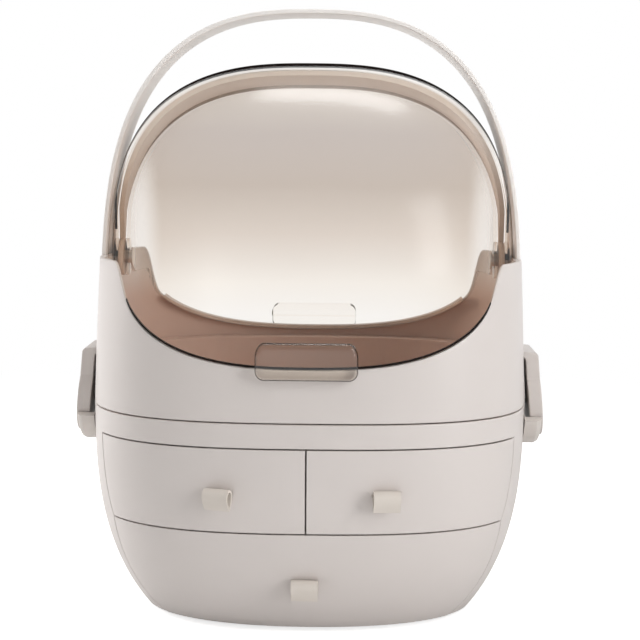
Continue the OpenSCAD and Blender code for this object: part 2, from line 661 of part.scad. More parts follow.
// ---- strap pulls: a drop-shaped loop with a tongue through the front ----
left_pull = [-51.3, drawer_mid_z + 22.3];
right_pull = [47.2, drawer_mid_z + 22.3];
bottom_pull = [-0.6, drawer_mid_z - 36.3];
function front_y(x, z) = -half_d(z) * pow(1 - pow(abs(x) / half_w(z), power(z)), 1 / power(z));
function front_turn(x, z) = let (d = 2) atan2(front_y(x + d, z) - front_y(x - d, z), 2 * d);
function drop(w, h, n = 28) = [for (i = [0 : n - 1]) let (t = 360 * i / n)
    [w / 2 * sin(t) * pow(abs(sin(t / 2)), 1.1), -h / 2 * cos(t)]];
loop_out = 1.8;                  // from a drawer front to the loop
tongue_z = 2.4;
slot_fit = 0.2;                  // around a pull's tongue
module pull_place(p) {
    translate([p[0], front_y(p[0], p[1]), p[1]]) rotate([0, 0, front_turn(p[0], p[1])]) children();
}
module pull_shape() {
    drop_y = -pull_d / 2 - loop_out;
    rotate([90, 0, 90]) translate([0, 0, -pull_w / 2]) linear_extrude(pull_w) {
        difference() {
            translate([drop_y, 0]) polygon(drop(pull_d * 1.25, pull_h));
            translate([drop_y, 0.2]) polygon(drop(pull_d * 1.25 - 2.6 * pull_t, pull_h - 2.6 * pull_t));
        }
        translate([drop_y + pull_d / 2 - 1.2, tongue_z - pull_t / 2]) square([front_wall + loop_out, pull_t]);
    }
}
module pull_slot(p) {
    pull_place(p) slab_x(-pull_w / 2 - slot_fit, pull_w / 2 + slot_fit, -10, 20,
        tongue_z - pull_t / 2 - slot_fit, tongue_z + pull_t / 2 + slot_fit);
}
module left_drawer_pull() color(ivory) pull_place(left_pull) pull_shape();
module right_drawer_pull() color(ivory) pull_place(right_pull) pull_shape();
module bottom_drawer_pull() color(ivory) pull_place(bottom_pull) pull_shape();

module left_drawer_front() color(ivory) difference() {
    front_panel(drawer_mid_z + joint_gap, drawer_top_z - joint_gap, -1);
    pull_slot(left_pull);
}
module right_drawer_front() color(ivory) difference() {
    front_panel(drawer_mid_z + joint_gap, drawer_top_z - joint_gap, 1);
    pull_slot(right_pull);
}
module bottom_drawer_front() color(ivory) difference() {
    front_panel(base_z, drawer_mid_z - joint_gap, 0);
    pull_slot(bottom_pull);
}

// ---- drawer boxes ----
module box_shape(x0, x1, y1, z0, z1, inset) {
    intersection() {
        slab_x(x0, x1, -far / 4, y1, z0, z1);
        case_core(z0 - 1, z1 + 1, inset, far, 6);
    }
}
box_front_gap = 0.6;
module drawer_box(x0, x1, y1, z0, z1) {
    inset = front_wall + box_front_gap;
    t = box_wall;
    difference() {
        box_shape(x0, x1, y1, z0, z1, inset);
        translate([0, 0, t]) box_shape(x0 + t, x1 - t, y1 - t, z0, z1 + 5, inset + t * 1.2);
    }
}
module upper_box() {
    drawer_box(divider / 2 + slide_gap, upper_bay_x - slide_gap, upper_bay_y - slide_gap,
        shelf_z + deck_t + slide_gap, deck_z - 2);
}
module right_drawer_box() color(ivory) upper_box();
module left_drawer_box() color(ivory) mirror([1, 0, 0]) upper_box();
module bottom_drawer_box() color(ivory) drawer_box(-lower_bay_x + slide_gap, lower_bay_x - slide_gap,
    lower_bay_y - slide_gap, floor_z + slide_gap, shelf_z - 1.5);

upper_shell();
inner_tray();
lid_arch();
lid_pivot_pins();
lower_housing();
drawer_frame();
base_plate();
base_feet();
base_screws();
front_lid();
front_lid_tab();
front_lid_top_seal();
front_lid_rim_seal();
rear_lid();
rear_lid_tab();
rear_lid_rim();
handle();
handle_caps();
hub_base_left();
hub_base_right();
handle_screws();
left_drawer_front();
left_drawer_box();
left_drawer_pull();
right_drawer_front();
right_drawer_box();
right_drawer_pull();
bottom_drawer_front();
bottom_drawer_box();
bottom_drawer_pull();
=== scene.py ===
import math

import bmesh
import bpy
from mathutils import Matrix, Vector


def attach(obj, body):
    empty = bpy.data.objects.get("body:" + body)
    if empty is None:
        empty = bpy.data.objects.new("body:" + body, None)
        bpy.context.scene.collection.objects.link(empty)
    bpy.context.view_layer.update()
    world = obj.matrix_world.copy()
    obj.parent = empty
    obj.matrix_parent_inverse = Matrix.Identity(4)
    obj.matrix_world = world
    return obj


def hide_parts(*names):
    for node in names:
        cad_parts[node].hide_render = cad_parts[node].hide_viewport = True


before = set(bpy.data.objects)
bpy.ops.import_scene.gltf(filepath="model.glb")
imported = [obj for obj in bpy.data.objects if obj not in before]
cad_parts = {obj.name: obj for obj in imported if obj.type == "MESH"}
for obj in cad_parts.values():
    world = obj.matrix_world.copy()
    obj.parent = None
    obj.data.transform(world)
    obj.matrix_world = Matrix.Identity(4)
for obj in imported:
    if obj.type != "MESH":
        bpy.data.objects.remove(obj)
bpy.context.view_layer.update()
scene = bpy.context.scene
MM = 0.001
QUARTER = math.pi / 2

# ---------------------------------------------------------------- form, in mm
# case: widths and depths at the seam and at the base, heights, squareness of the plan
BODY_W, BODY_D, BASE_W, BASE_D = 276, 220, 207, 126
SEAM_Z, SHOULDER_Z, SHOULDER_INSET = 138.7, 231, 3.6
PLAN_POWER, BASE_POWER = 2.73, 2.1
SIDE_SWELL, FRONT_SWELL, SHOULDER_DRAW, DEPTH_DRAW = 2.65, 2.47, 1.3, 0.006
SHELL_WALL, FOOT_H, SEAM_GAP = 3, 3, 0.35
SIDES, UPPER_ROWS, LOWER_ROWS, EDGE_STEPS = 320, 26, 70, 5
UPPER_EDGE, LOWER_EDGE, BELOW_RIM = 0.9, 0.7, 1.2
TAPER_W = 1 - (BASE_W / BODY_W) ** 2
TAPER_D = 1 - (BASE_D / BODY_D) ** 2
# rim: the flat shoulders beside the lids and how the rim climbs to them
SHOULDER_X, SHOULDER_SLOPE, REAR_WIDEN = 110, 3.4, 4
RIM_LOOK_Z, RIM_SOFT, RIM_STEPS, EDGE_GAP = 200, 3.2, 8, 0.3
REAR_SIDE_Z = SHOULDER_Z - 14
# lids and arch: nested walls of one rounded drum about the pivot axis
PIVOT_Z, LID_R, LID_X, LID_POWER, CHEEK_X = 228.7, 123.9, 128.7, 2.7, 127.4
LID_WALL, ARCH_WALL, NEST_GAP = 2.4, 3.2, 0.6
LID_TOP, ARCH_LEAD, ARCH_BACK, REAR_LAP = 84, 0.5, 110, 4
LID_COLS, LID_ROWS = 150, 90
D_ARCH = LID_WALL + NEST_GAP
D_REAR = D_ARCH + ARCH_WALL + NEST_GAP
DISC_R, DISC_BORE, CHEEK_BORE, DISC_SET, ARCH_FOOT_R = 12, 4.06, 4.1, 0.1, 9
DISC_TURNS, DISC_EDGE, ARCH_COLS, ARCH_STEPS, ARCH_EDGE = 72, 0.3, 160, 20, 0.5
SEAL_FADE = 3  # over this width the front lid comes down to the bare shoulder
# seals and strips on the lids
SEAL_T, SEAL_PROUD, SEAL_W, SEAL_ARC, SEAL_FOOT_R = 1.2, 1.3, 1.5, 1.2, 18
SEAL_DIP, SEAL_COLS, SEAL_STEPS, SEAL_END, SEAL_EDGE = 0.2, 90, 3, 0.5, 0.25
STRIP_H, STRIP_END_X, STRIP_SET, STRIP_COLS, STRIP_EDGE = 2, 104, 0.2, 180, 0.4
STRIP_ROOM, STRIP_BEVEL_STEPS = 0.1, 2
# front finger tab
TAB_W, TAB_Z, TAB_OUT, TAB_IN = 60.4, (165.1, 187.4), 118.3, BODY_D / 2 + 0.7
TAB_CORNER, TAB_TALL, TAB_ROUND, TAB_STEPS, CORNER_STEPS = 5.5, 1.6, 3.6, 10, 12
TAB_GAP, TAB_LEAST = 0.15, 0.2  # room between tab and lid, least straight length behind the rounding
TAB_DRAW = 0.9  # how fast the corners tighten as the outline is drawn in
# drawer fronts
DRAWER_TOP, DRAWER_MID, END_Y, FOOT_Y = 123.5, 71, 60, 37
FRONT_WALL, FRONT_EDGE, GAP = 3.5, 0.7, 0.5
# strap pulls: the loop, its tongue, where each one sits (x, z) and how it is turned
PULL_W, PULL_H, PULL_D, PULL_T = 16, 13, 9, 1.4
LOOP_OUT, LOOP_RISE, LOOP_EDGE, TONGUE_Z = 1.8, 0.2, 0.45, 2.4
LOOP_DEPTH, LOOP_WALLS, LOOP_NARROW = PULL_D * 1.25, PULL_T * 2.6, 1.1
SLOT_ROOM, TONGUE_INSET, TONGUE_LAP = 0.2, 0.1, 1.2
LOOP_OUTER_HALF, LOOP_INNER_HALF = (5.6, 6.5), (3.8, 4.7)
LOOP_TURNS, LOOP_EDGE_STEPS, LOOP_STEPS = 72, 4, 8
PULLS = {"left": (-51.3, DRAWER_MID + 22.3), "right": (47.2, DRAWER_MID + 22.3), "bottom": (-0.6, DRAWER_MID - 36.3)}
TWIST = {"left": math.radians(-11), "right": math.radians(-3), "bottom": math.radians(-3)}
# handle, its paddles and the recess that they turn in
HUB_Z, HANDLE_TOP, HANDLE_X = 140, 386.5, 134.2
STRAP_W, STRAP_T, STRAP_EDGE, PADDLE_R, RECESS_X = 42, 2.8, 0.8, 25, 129.7
ARM_ROOM, FOLD_ROOM, PADDLE_SET = 1, 1.5, 0.5
BOW_STEPS, PADDLE_STEPS, RECESS_TURNS = 96, 80, 96
ARM_Z0, ARM_JOIN, NECK_Z, LEAN = 170, 177, 172, 0.09
PADDLE_IN, PADDLE_OUT = 140.4, 149
SPREAD_POWER, RISE_POWER = 2 / 2.57, 2 / 3.3
WALL_CAP = RECESS_X - 1.4
# directions (cosines) that tell a cheek's faces and the arch's outer face from the rest
CHEEK_SIDEWAYS, ARCH_OUTWARDS = 0.97, 0.3
# lengths that only have to be long enough
CUT_BACK, CUT_DEEP, CUT_WIDE, CUT_HANDLE, CUT_BELOW, SLOT_CUT = 60, 40, 300, 200, -5, (-10, 20)
FAR, NO_CAP = 400, 1e9


def low(z):
    return max(0.0, (SEAM_Z - z) / SEAM_Z)


def high(z):
    return max(0.0, (z - SEAM_Z) / (SHOULDER_Z - SEAM_Z))


def half_w(z):
    if z < SEAM_Z:
        return BODY_W / 2 * math.sqrt(1 - TAPER_W * low(z) ** SIDE_SWELL)
    return BODY_W / 2 - SHOULDER_INSET * high(z) ** SHOULDER_DRAW


def half_d(z):
    return BODY_D / 2 * (math.sqrt(1 - TAPER_D * low(z) ** FRONT_SWELL) if z < SEAM_Z else 1 - DEPTH_DRAW * high(z))


def power(z):
    return PLAN_POWER - (PLAN_POWER - BASE_POWER) * low(z) ** 3


def signed_power(v, p):
    return math.copysign(abs(v) ** p, v)


def outline(z, t, inset=0.0, cap=NO_CAP):
    """A point of the case's plan at height z, flattened at the sides beyond cap."""
    e = 2 / power(z)
    x = (half_w(z) - inset) * signed_power(math.cos(t), e)
    return max(-cap, min(cap, x)), (half_d(z) - inset) * signed_power(math.sin(t), e)


def drum_r(x, inset=0.0):
    """Radius of the drum that the lids and the arch are walls of."""
    k = min(abs(x) / (LID_X - inset), 1)
    return (LID_R - inset) * max(0.0, 1 - k ** LID_POWER) ** (1 / LID_POWER)


def case_y(x, z=RIM_LOOK_Z):
    return half_d(z) * max(0.0, 1 - min(1, abs(x) / half_w(z)) ** power(z)) ** (1 / power(z))


def rim_curve(x):
    """Where the drum meets the wall of the case."""
    return PIVOT_Z - math.sqrt(max(0.0, drum_r(x) ** 2 - case_y(x) ** 2))


SHOULDER_RUN = (SHOULDER_Z - rim_curve(SHOULDER_X)) / SHOULDER_SLOPE


def rim_raw(x, widen):
    x = abs(x)
    if x < SHOULDER_X:
        return rim_curve(x * (1 - widen / SHOULDER_X))
    foot = rim_curve(SHOULDER_X - widen)
    return min(SHOULDER_Z, foot + (SHOULDER_Z - foot) * (x - SHOULDER_X) / SHOULDER_RUN)


def rim_z(x, widen=0.0):
    """The rim with its corners rounded off; widen spreads it at the back."""
    total = weight = 0.0
    for i in range(-RIM_STEPS, RIM_STEPS + 1):
        w = 1 - abs(i) / (RIM_STEPS + 1)
        total += w * rim_raw(abs(x) + RIM_SOFT * i / RIM_STEPS, widen)
        weight += w
    return total / weight


def rear_rim_z(x):
    return rim_z(x, REAR_WIDEN)


# ---------------------------------------------------------------- mesh helpers
SHARP, SLAB_SHARP = 38, 40  # degrees from which an edge shades as sharp
WELD_REACH = 2e-6  # metres


def make(name, verts, faces, sharp=SHARP, smooth=True):
    """An object from points in mm, welded, with its normals outwards."""
    mesh = bpy.data.meshes.new(name)
    mesh.from_pydata([(v[0] * MM, v[1] * MM, v[2] * MM) for v in verts], [], faces)
    mesh.validate()
    bm = bmesh.new()
    bm.from_mesh(mesh)
    bmesh.ops.remove_doubles(bm, verts=bm.verts, dist=1e-7)
    bmesh.ops.recalc_face_normals(bm, faces=bm.faces)
    bm.to_mesh(mesh)
    bm.free()
    if smooth:
        mesh.shade_smooth()
        mesh.set_sharp_from_angle(angle=math.radians(sharp))
    obj = bpy.data.objects.new(name, mesh)
    scene.collection.objects.link(obj)
    return obj


def ring_faces(rings, n, closed):
    """Quads between rings of n points each; closed joins the last ring to the first."""
    faces = []
    for j in range(rings if closed else rings - 1):
        k = (j + 1) % rings
        for i in range(n):
            h = (i + 1) % n
            faces.append((j * n + i, j * n + h, k * n + h, k * n + i))
    return faces


def skin(name, rings, sharp=SHARP):
    """A closed skin: rings of points, the last joined to the first."""
    return make(name, [p for r in rings for p in r], ring_faces(len(rings), len(rings[0]), True), sharp)


def tube(name, rings, sharp=SLAB_SHARP):
    """A skin through rings with capped ends."""
    n, m = len(rings[0]), len(rings)
    faces = ring_faces(m, n, False)
    faces.append(tuple(range(n - 1, -1, -1)))
    faces.append(tuple(range((m - 1) * n, m * n)))
    return make(name, [p for r in rings for p in r], faces, sharp)


def prism(name, points, axis, a, b):
    """A straight prism over a closed outline, from a to b; axis 0 = along X, 1 = along Y, 2 = along Z."""
    def place(p, h):
        return {0: (h, p[0], p[1]), 1: (p[0], h, p[1]), 2: (p[0], p[1], h)}[axis]
    n = len(points)
    verts = [place(p, a) for p in points] + [place(p, b) for p in points]
    faces = [tuple(range(n)), tuple(range(2 * n - 1, n - 1, -1))]
    faces += [(i, n + i, n + (i + 1) % n, (i + 1) % n) for i in range(n)]
    return make(name, verts, faces, smooth=False)


def box_outline(a0, a1, b0, b1):
    return [(a0, b0), (a1, b0), (a1, b1), (a0, b1)]


def apply_all(obj):
    """Turns an object's modifiers into its mesh."""
    dg = bpy.context.evaluated_depsgraph_get()
    mesh = bpy.data.meshes.new_from_object(obj.evaluated_get(dg))
    old = obj.data
    obj.modifiers.clear()
    obj.data = mesh
    bpy.data.meshes.remove(old)


def carve(obj, cutters, operation="DIFFERENCE", sharp=SHARP):
    """Boolean with each cutter in turn; the cutters are deleted."""
    for c in cutters:
        m = obj.modifiers.new("cut", "BOOLEAN")
        m.operation, m.object, m.solver = operation, c, "EXACT"
    apply_all(obj)
    for c in cutters:
        bpy.data.objects.remove(c, do_unlink=True)
    obj.data.shade_smooth()
    obj.data.set_sharp_from_angle(angle=math.radians(sharp))


def round_edges(obj, width, segments=3, angle=50):
    """A small bevel on the edges that turn by more than angle degrees."""
    m = obj.modifiers.new("round", "BEVEL")
    m.width, m.segments, m.limit_method = width * MM, segments, "ANGLE"
    m.angle_limit = math.radians(angle)
    m.use_clamp_overlap = True
    m.harden_normals = True


def join(main, others):
    """Adds the meshes of others to main."""
    bm = bmesh.new()
    bm.from_mesh(main.data)
    for o in others:
        bm.from_mesh(o.data)
    bm.to_mesh(main.data)
    bm.free()
    for o in others:
        bpy.data.objects.remove(o, do_unlink=True)


# ---------------------------------------------------------------- material helpers
MIX_FACTOR, MIX_A, MIX_B, MIX_RESULT = 0, 6, 7, 2  # sockets of a Mix node that mixes colours
WHITE = (1, 1, 1, 1)
DRIFT_SCALE, CLEAR_DRIFT_SCALE, METAL_SCALE, GRAIN_DEPTH = 9.0, 14.0, 400.0, 0.0003
GRAZE_BLEND, GRAZE = 0.8, (0.05, 0.6)  # from face-on to grazing, where a side tint comes in
SIDEWAYS = (0.7, 0.95)  # from slanted to sideways, where quiet takes gloss away


def material(name):
    mat = bpy.data.materials.new(name)
    mat.use_nodes = True
    nt = mat.node_tree
    nt.nodes.clear()
    return mat, nt, nt.nodes.new("ShaderNodeOutputMaterial")


def node(nt, kind, inputs=None, **props):
    """A new node. An input given as an output of another node is linked, any other value is set."""
    n = nt.nodes.new(kind)
    for key, value in props.items():
        setattr(n, key, value)
    for key, value in (inputs or {}).items():
        if isinstance(value, bpy.types.NodeSocket):
            nt.links.new(value, n.inputs[key])
        else:
            n.inputs[key].default_value = value
    return n


def calc(nt, operation, *values):
    return node(nt, "ShaderNodeMath", dict(enumerate(values)), operation=operation).outputs["Value"]


def noise(nt, place, scale, detail=2.0):
    return node(nt, "ShaderNodeTexNoise", {"Vector": place, "Scale": scale, "Detail": detail}).outputs["Fac"]


def part_of(nt, vector, axis):
    return node(nt, "ShaderNodeSeparateXYZ", {"Vector": vector}).outputs[axis]


def spread(nt, value, start, end, to_start=0.0, to_end=1.0, shape="SMOOTHSTEP"):
    """Maps start..end onto to_start..to_end."""
    limits = {"Value": value, "From Min": start, "From Max": end, "To Min": to_start, "To Max": to_end}
    return node(nt, "ShaderNodeMapRange", limits, interpolation_type=shape).outputs["Result"]


def ramp(nt, factor, stops):
    """A colour ramp; stops are (place, colour) pairs."""
    n = node(nt, "ShaderNodeValToRGB", {"Fac": factor})
    while len(n.color_ramp.elements) < len(stops):
        n.color_ramp.elements.new(0.5)
    for element, (place, color) in zip(n.color_ramp.elements, stops):
        element.position, element.color = place, (*color, 1)
    return n.outputs["Color"]


def level_ramp(nt, factor, *stops):
    """A ramp of plain levels; stops are (place, level) pairs."""
    return ramp(nt, factor, [(place, (level,) * 3) for place, level in stops])


def mix_color(nt, factor, a, b):
    sockets = {MIX_FACTOR: factor, MIX_A: a, MIX_B: b}
    return node(nt, "ShaderNodeMix", sockets, data_type="RGBA").outputs[MIX_RESULT]


def mix_shader(nt, factor, a, b):
    return node(nt, "ShaderNodeMixShader", {0: factor, 1: a, 2: b}).outputs["Shader"]


def layer_facing(nt, blend):
    """0 where a surface is seen face-on, 1 where it is seen edge-on; a small blend keeps to the edge."""
    return node(nt, "ShaderNodeLayerWeight", {"Blend": blend}).outputs["Facing"]


def plastic(name, color, rough=0.34, vary=0.02, grain=0.06, grain_scale=900, spec=0.5, foot=None):
    """Moulded plastic: slow colour drift, a fine surface grain and a slightly uneven gloss;
    foot = (colour, from, to) is painted shade: the colour that it darkens to below a height, in metres."""
    mat, nt, out = material(name)
    place = node(nt, "ShaderNodeTexCoord").outputs["Object"]
    slow = noise(nt, place, DRIFT_SCALE, 3.0)
    dark = tuple(c * (1 - vary) for c in color)
    light = tuple(min(1, c * (1 + vary)) for c in color)
    tone = ramp(nt, slow, [(0.35, dark), (0.65, light)])
    # painted shade: the colour darkens to the foot colour below a height
    if foot:
        painted_shade_color, start, end = foot
        height = spread(nt, part_of(nt, place, "Z"), start, end)
        tone = mix_color(nt, height, (*painted_shade_color, 1), tone)
    fine = noise(nt, place, grain_scale)
    bump = node(nt, "ShaderNodeBump", {"Strength": grain, "Distance": GRAIN_DEPTH, "Height": fine})
    bsdf = node(nt, "ShaderNodeBsdfPrincipled", {
        "Base Color": tone, "Roughness": level_ramp(nt, slow, (0.3, rough * 0.92), (0.7, rough * 1.1)),
        "Normal": bump.outputs["Normal"], "IOR": 1.46, "Specular IOR Level": spec})
    nt.links.new(bsdf.outputs["BSDF"], out.inputs["Surface"])
    return mat


def metal(name, color, rough=0.3):
    """Turned metal with a fine variation of tone and gloss."""
    mat, nt, out = material(name)
    fine = noise(nt, node(nt, "ShaderNodeTexCoord").outputs["Object"], METAL_SCALE, 4.0)
    bsdf = node(nt, "ShaderNodeBsdfPrincipled", {
        "Metallic": 1.0, "Base Color": ramp(nt, fine, [(0.3, tuple(c * 0.9 for c in color)), (0.7, color)]),
        "Roughness": level_ramp(nt, fine, (0.3, rough * 0.8), (0.7, rough * 1.2))})
    nt.links.new(bsdf.outputs["BSDF"], out.inputs["Surface"])
    return mat


def clear_plastic(name, stops, edge, gloss_rough=0.12, blend=0.1, low_z=0.18, high_z=0.34,
                  shine=0.8, side=None, ior=1.4, quiet=1.0):
    """Thin clear plastic: it lets light straight through, tinted by height (stops, from low_z
    to high_z in metres) and by edge where it is seen edge-on, with a gloss over it.
    side = (colour, axis, from, to) tints faces by how far their normal lies along an axis;
    quiet is the share of the gloss that is left on faces that look sideways."""
    mat, nt, out = material(name)
    coords = node(nt, "ShaderNodeTexCoord")
    place, normal = coords.outputs["Object"], coords.outputs["Normal"]
    height = spread(nt, part_of(nt, place, "Z"), low_z, high_z, shape="LINEAR")
    drift = calc(nt, "MULTIPLY_ADD", noise(nt, place, CLEAR_DRIFT_SCALE, 1.0), 0.03, height)
    tint = mix_color(nt, layer_facing(nt, blend), ramp(nt, drift, stops), (*edge, 1))
    if side:
        side_color, axis, start, end = side
        turned = spread(nt, calc(nt, "ABSOLUTE", part_of(nt, normal, axis)), start, end)
        # seen face-on such a face is clear again, as the plastic is
        grazed = spread(nt, layer_facing(nt, GRAZE_BLEND), *GRAZE)
        tint = mix_color(nt, calc(nt, "MULTIPLY", turned, grazed), tint, (*side_color, 1))
    mirror = calc(nt, "MULTIPLY", node(nt, "ShaderNodeFresnel", {"IOR": ior}).outputs["Fac"], shine)
    # only where light meets a surface from outside: the far side of a thin wall adds no mirror
    outside = calc(nt, "SUBTRACT", 1.0, node(nt, "ShaderNodeNewGeometry").outputs["Backfacing"])
    mirror = calc(nt, "MULTIPLY", mirror, outside)
    if quiet < 1:
        sideways = calc(nt, "ABSOLUTE", part_of(nt, normal, "X"))
        mirror = calc(nt, "MULTIPLY", mirror, spread(nt, sideways, *SIDEWAYS, 1.0, quiet, "LINEAR"))
    through = node(nt, "ShaderNodeBsdfTransparent", {"Color": tint})
    gloss = node(nt, "ShaderNodeBsdfGlossy", {"Roughness": gloss_rough, "Color": WHITE})
    nt.links.new(mix_shader(nt, mirror, through.outputs["BSDF"], gloss.outputs["BSDF"]), out.inputs["Surface"])
    return mat


# ---------------------------------------------------------------- materials
case_mat = plastic("case_plastic_look", (0.70, 0.649, 0.622), 0.36)
inner_mat = plastic("inner_plastic_look", (0.66, 0.62, 0.57), 0.45)
# painted shade: the compartment's walls and tray darken to brown towards the bottom
inside_mat = plastic("compartment_look", (0.76, 0.70, 0.65), 0.5, foot=((0.62, 0.45, 0.37), 0.192, 0.222))
arch_mat = plastic("arch_look", (0.78, 0.73, 0.68), 0.35)
# painted light and shade: the faces under the arch are painted lighter than its outer face, where they stand in
# shade, and brown towards its lower ends
arch_underside_painted_mat = plastic("arch_inner_look", (0.95, 0.88, 0.81), 0.35, foot=((0.56, 0.42, 0.32), 0.25, 0.325))
# painted shade: the handle darkens towards its paddles, below the arms
handle_mat = plastic("handle_look", (0.90, 0.865, 0.835), 0.38, grain=0.015, foot=((0.62, 0.57, 0.54), 0.165, 0.2))
hub_mat = plastic("hub_look", (0.66, 0.61, 0.57), 0.4)
pull_mat = plastic("pull_look", (0.72, 0.66, 0.60), 0.5, 0.03, 0.25, 1500)
seal_mat = plastic("seal_look", (0.014, 0.010, 0.009), 0.6, 0.2, 0.1, 1500, spec=0.04)
brown_seal_mat = plastic("rim_strip_look", (0.62, 0.47, 0.38), 0.3, 0.2, 0.1, 1500)
foot_mat = plastic("foot_look", (0.10, 0.10, 0.10), 0.7, 0.1, 0.3, 1500)
steel_mat = metal("steel_look", (0.62, 0.62, 0.64))
pin_mat = metal("pin_look", (0.82, 0.76, 0.70), 0.5)

CLEAR = (0.988, 0.98, 0.972)
# painted shade: the lids' tint darkens with height, the rear lid's most, darkest well up its height and lighter again
# at its top
front_mat = clear_plastic("front_lid_look", [(0.0, CLEAR), (1.0, (0.98, 0.97, 0.96))], (0.86, 0.78, 0.70),
                          gloss_rough=0.24, quiet=0.25)
cheek_mat = clear_plastic("front_cheek_look", [(0.0, CLEAR), (1.0, CLEAR)], (0.66, 0.56, 0.48), blend=0.3, shine=0.1)
rear_mat = clear_plastic(
    "rear_lid_look",
    [(0.0, (0.995, 0.992, 0.985)), (0.16, (0.975, 0.955, 0.928)), (0.38, (0.875, 0.832, 0.795)),
     (0.60, (0.785, 0.742, 0.706)), (0.83, (0.79, 0.76, 0.745)), (1.0, (0.86, 0.84, 0.82))],
    (0.80, 0.74, 0.68), gloss_rough=0.42, shine=0.9, side=((0.995, 0.99, 0.985), "X", 0.84, 1.0))
tab_heights = {"low_z": 0.165, "high_z": 0.19}
# painted shade: both finger tabs are painted dark on the rim faces that turn sideways or away from the front, where
# these are seen edge-on
rear_tab_mat = clear_plastic("rear_tab_look", [(0.0, (0.99, 0.985, 0.975)), (1.0, CLEAR)], CLEAR, blend=0.02,
                             shine=0.12, side=((0.14, 0.13, 0.11), "X", 0.12, 0.5), **tab_heights)
tab_mat = clear_plastic("front_tab_look", [(0.0, (0.985, 0.96, 0.925)), (1.0, (0.985, 0.975, 0.965))],
                        (0.75, 0.70, 0.66), shine=1.0, side=((0.10, 0.07, 0.055), "Y", 0.82, 0.42),
                        ior=1.65, **tab_heights)


def dress(obj, mat, body, slot, *nodes):
    """Gives a piece its material, its body and the CAD nodes that it replaces."""
    obj.data.materials.clear()
    obj.data.materials.append(mat)
    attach(obj, body)
    if nodes:
        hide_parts(*nodes)


def paint(obj, mat, chosen):
    """A second material for the faces that chosen(face) picks."""
    obj.data.materials.append(mat)
    for f in obj.data.polygons:
        if chosen(f):
            f.material_index = 1


# ---------------------------------------------------------------- case shells
TURNS = [2 * math.pi * i / SIDES for i in range(SIDES)]
EDGE_TURNS = [QUARTER * i / EDGE_STEPS for i in range(EDGE_STEPS + 1)]


def recess_cutters():
    """Three cutters a side that clear the paddle and the arm of the handle."""
    r = PADDLE_R - PADDLE_SET
    turns = [2 * math.pi * i / RECESS_TURNS for i in range(RECESS_TURNS)]
    arm = box_outline(-STRAP_W / 2 - ARM_ROOM, CUT_BACK, HUB_Z, FAR)
    fold = box_outline(0, CUT_BACK, HUB_Z - STRAP_W / 2 - FOLD_ROOM, HUB_Z + 1)
    paddle = [(r * math.cos(t), HUB_Z + r * math.sin(t)) for t in turns]
    made = []
    for side in (-1, 1):
        a, b = sorted((side * RECESS_X, side * (RECESS_X + CUT_DEEP)))
        made += [prism("recess", shape, 0, a, b) for shape in (arm, fold, paddle)]
    return made


def shell_rings(z0, top, rows, edge):
    """Rings of a case wall from z0 up to top(x, widen), with rounded edges, out and back in."""
    def ring(k, inset, rise=0.0, fall=0.0, cap=NO_CAP):
        pts = []
        for t in TURNS:
            x, y = outline(RIM_LOOK_Z, t, inset, cap)
            end = top(x, REAR_WIDEN if y > 0 else 0.0)
            z = z0 + rise + (end - fall - z0 - rise) * k
            x, y = outline(z, t, inset, cap)
            pts.append((x, y, z))
        return pts

    rings = [ring(0, edge * (1 - math.sin(a)), rise=edge * (1 - math.cos(a))) for a in EDGE_TURNS[:-1]]
    rings += [ring(k / rows, 0, rise=edge, fall=edge) for k in range(rows)]
    rings += [ring(1, edge * (1 - math.cos(a)), fall=edge * (1 - math.sin(a))) for a in EDGE_TURNS]
    rings += [ring(1, SHELL_WALL - edge * (1 - math.sin(a)), fall=edge * (1 - math.cos(a)), cap=WALL_CAP)
              for a in EDGE_TURNS]
    rings += [ring(k / rows, SHELL_WALL, fall=edge, cap=WALL_CAP) for k in range(rows - 1, -1, -1)]
    return rings


def faces_compartment(face):
    """Whether a face of the upper shell belongs to its inner side, below the rim."""
    c = face.center / MM
    x, y, n = abs(c.x), abs(c.y), power(c.z)
    mid_wall = 1.6
    within = (x / (half_w(c.z) - mid_wall)) ** n + (y / (half_d(c.z) - mid_wall)) ** n < 1
    rim = rim_z(x, REAR_WIDEN if c.y > 0 else 0.0)
    return within and c.z < rim - BELOW_RIM and x < WALL_CAP + 0.01


upper = skin("case_upper_shell", shell_rings(SEAM_Z + SEAM_GAP, rim_z, UPPER_ROWS, UPPER_EDGE))
carve(upper, recess_cutters())
dress(upper, case_mat, "case", "case_plastic", "upper_shell")
# the inside of the upper shell takes the compartment's painted shade
paint(upper, inside_mat, faces_compartment)

lower = skin("case_lower_shell", shell_rings(FOOT_H, lambda x, widen: SEAM_Z - SEAM_GAP, LOWER_ROWS, LOWER_EDGE))
front_opening = prism("front_opening", [
    (-FAR, CUT_BELOW), (-FOOT_Y + GAP, CUT_BELOW), (-FOOT_Y + GAP, FOOT_H), (-END_Y + GAP, DRAWER_MID),
    (-END_Y + GAP, DRAWER_TOP + GAP), (-FAR, DRAWER_TOP + GAP)], 0, -CUT_WIDE, CUT_WIDE)
carve(lower, recess_cutters() + [front_opening])
dress(lower, case_mat, "case", "case_plastic", "lower_housing")


# ---------------------------------------------------------------- drawer fronts
def end_y(z):
    """How far back a front reaches, from the middle of the case."""
    if z > DRAWER_MID:
        return END_Y + GAP
    return FOOT_Y + GAP + (END_Y - FOOT_Y) * (z - FOOT_H) / (DRAWER_MID - FOOT_H)


def front_point(z, u, side, inset):
    """A point of a front: u runs from its inner end to its outer end; side 0 spans both sides."""
    a, b, n = half_w(z) - inset, half_d(z) - inset, power(z)
    last = math.acos(min(1, end_y(z) / b) ** (n / 2))
    first = -last if side == 0 else math.asin(min(1, GAP / a) ** (n / 2))
    t = first + (last - first) * u
    return (-1 if side < 0 else 1) * a * signed_power(math.sin(t), 2 / n), -b * signed_power(math.cos(t), 2 / n), z


